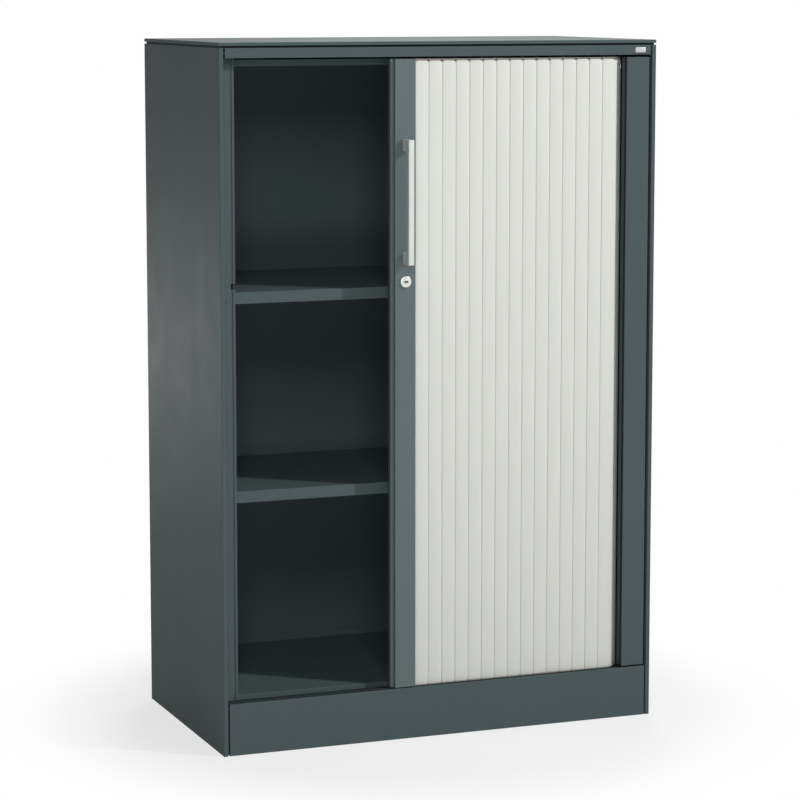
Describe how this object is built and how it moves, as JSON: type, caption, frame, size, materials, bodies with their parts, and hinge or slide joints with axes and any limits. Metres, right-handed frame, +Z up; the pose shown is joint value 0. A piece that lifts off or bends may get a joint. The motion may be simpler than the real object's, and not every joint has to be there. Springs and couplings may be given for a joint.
{
  "type": "roll front tool cabinet",
  "caption": "Sheet-steel cabinet on a plinth with shelves, closed by a sideways-sliding curtain of upright slats with a bow handle and a cam lock.",
  "frame": {"origin": "on the floor under the middle of the object's bounding box, handle included", "axes": "+Z up, -Y towards the front with the curtain and handle, +X to the user's right"},
  "size_m": [0.8, 0.464, 1.205],
  "materials": {
    "anthracite_paint": "fine-textured powder coat, satin",
    "bar_paint": "fine-textured powder coat, satin",
    "slat_plastic": "light warm grey, fine extrusion grain, semi-matt",
    "guide_plastic": "black nylon, matt",
    "handle_metal": "satin nickel",
    "lock_nickel": "nickel-plated, bright",
    "zinc_steel": "zinc-plated, dull",
    "seal_rubber": "black, matt",
    "foot_plastic": "black moulded plastic",
    "blank_plate": "satin anodised, blank"
  },
  "bodies": {
    "cabinet": {"left_side_panel": "anthracite_paint", "right_side_panel": "anthracite_paint", "rear_panel": "anthracite_paint", "top_cover": "anthracite_paint", "roof_panel": "anthracite_paint", "top_cross_members": "anthracite_paint", "top_front_rail": "anthracite_paint", "ceiling_panel": "anthracite_paint", "upper_track": "guide_plastic", "lower_track": "guide_plastic", "plinth_front": "anthracite_paint", "plinth_rear": "anthracite_paint", "bottom_panel": "anthracite_paint", "floor_panel": "anthracite_paint", "floor_back_stop": "anthracite_paint", "right_inner_wall": "anthracite_paint", "inner_back_wall": "anthracite_paint", "left_stop_profile": "anthracite_paint", "strike_plate": "zinc_steel", "strike_screws": "anthracite_paint", "right_post_cover": "anthracite_paint", "post_seal": "seal_rubber", "left_shelf_strips": "anthracite_paint", "right_shelf_strips": "anthracite_paint", "lower_shelf": "anthracite_paint", "upper_shelf": "anthracite_paint", "shelf_clips": "zinc_steel", "foot_brackets": "zinc_steel", "levelling_feet": "foot_plastic", "badge_plate": "blank_plate", "stored_slats": "slat_plastic", "stored_gliders": "guide_plastic"},
    "curtain": {"slat_01": "slat_plastic", "slat_02": "slat_plastic", "slat_03": "slat_plastic", "slat_04": "slat_plastic", "slat_05": "slat_plastic", "slat_06": "slat_plastic", "slat_07": "slat_plastic", "slat_08": "slat_plastic", "slat_09": "slat_plastic", "slat_10": "slat_plastic", "slat_11": "slat_plastic", "slat_12": "slat_plastic", "slat_13": "slat_plastic", "slat_14": "slat_plastic", "slat_15": "slat_plastic", "slat_head_gliders": "guide_plastic", "slat_foot_gliders": "guide_plastic"},
    "lead_bar": {"lead_bar": "bar_paint", "bar_guide_blocks": "guide_plastic", "handle": "handle_metal", "handle_screws": "zinc_steel", "lock_housing": "lock_nickel", "lock_nut": "zinc_steel"},
    "lock_core": {"lock_plug": "lock_nickel", "lock_cam": "zinc_steel", "cam_screw": "zinc_steel"}
  },
  "joints": [
    {"name": "curtain_close", "type": "slide", "parent": "cabinet", "child": "curtain", "axis": [1, 0, 0], "range_m": [-0.295, 0], "deforming": ["stored_slats", "stored_gliders"]},
    {"name": "curtain_open", "type": "slide", "parent": "curtain", "child": "lead_bar", "axis": [1, 0, 0], "range_m": [0, 0.3944], "deforming": ["slat_01", "slat_02", "slat_03", "slat_04", "slat_05", "slat_06", "slat_07", "slat_08", "slat_09", "slat_10", "slat_11", "slat_12", "slat_13", "slat_14", "slat_15", "slat_head_gliders", "slat_foot_gliders"]},
    {"name": "lock_turn", "type": "hinge", "parent": "lead_bar", "child": "lock_core", "pos_m": [-0.0705, -0.203, 0.798], "axis": [0, 1, 0], "range_deg": [0, 90]}
  ]
}
